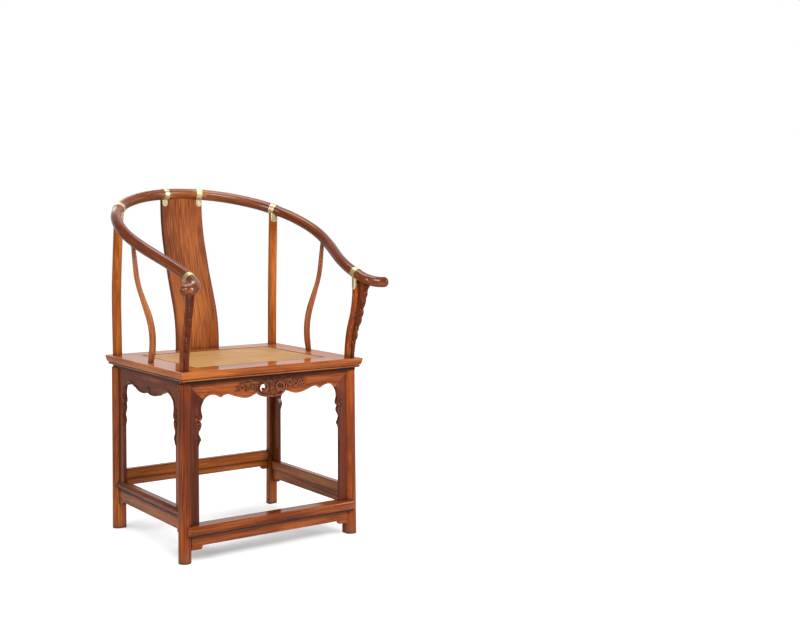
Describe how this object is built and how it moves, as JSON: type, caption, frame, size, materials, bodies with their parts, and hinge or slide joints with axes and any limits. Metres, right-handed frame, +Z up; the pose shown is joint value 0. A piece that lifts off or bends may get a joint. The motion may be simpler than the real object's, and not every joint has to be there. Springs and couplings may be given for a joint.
{
  "type": "horseshoe back armchair",
  "caption": "Chinese horseshoe back armchair in reddish-brown hardwood with a curved splat, cane seat, carved aprons, stepped stretchers and brass straps.",
  "frame": {"origin": "on the floor, under the middle of the bounding box", "axes": "+X to the viewer's right when the chair is seen from its front, -Y to the front, +Z up"},
  "size_m": [0.6498, 0.6886, 0.996],
  "materials": {
    "rosewood": "polished",
    "inner_wood": "oiled",
    "brass": "aged, softly polished",
    "cane": "woven cane",
    "palm_fibre": "coarse fibre"
  },
  "bodies": {
    "root": {"arm_rail_left": "rosewood", "arm_rail_right": "rosewood", "arm_spandrel_left": "rosewood", "arm_spandrel_right": "rosewood", "back_splat": "rosewood", "back_stretcher": "rosewood", "back_stretcher_apron": "rosewood", "cane_mat": "cane", "crest_rail_centre": "rosewood", "crest_shoulder_left": "rosewood", "crest_shoulder_right": "rosewood", "footrest": "rosewood", "footrest_apron": "rosewood", "front_apron": "rosewood", "front_leg_left": "rosewood", "front_leg_right": "rosewood", "front_post_strap_left": "brass", "front_post_strap_right": "brass", "front_upright_left": "rosewood", "front_upright_right": "rosewood", "mat_border": "rosewood", "palm_webbing": "palm_fibre", "rear_apron": "inner_wood", "rear_leg_left": "rosewood", "rear_leg_right": "rosewood", "rear_post_strap_left": "brass", "rear_post_strap_right": "brass", "scarf_pegs": "inner_wood", "seat_braces": "inner_wood", "seat_rail_back": "rosewood", "seat_rail_front": "rosewood", "seat_rail_left": "rosewood", "seat_rail_right": "rosewood", "side_apron_left": "rosewood", "side_apron_right": "rosewood", "side_brace_left": "rosewood", "side_brace_right": "rosewood", "side_stretcher_apron_left": "rosewood", "side_stretcher_apron_right": "rosewood", "side_stretcher_left": "rosewood", "side_stretcher_right": "rosewood", "side_upright_front_left": "rosewood", "side_upright_front_right": "rosewood", "side_upright_rear_left": "rosewood", "side_upright_rear_right": "rosewood", "splat_strap_left": "brass", "splat_strap_right": "brass"}
  },
  "joints": []
}
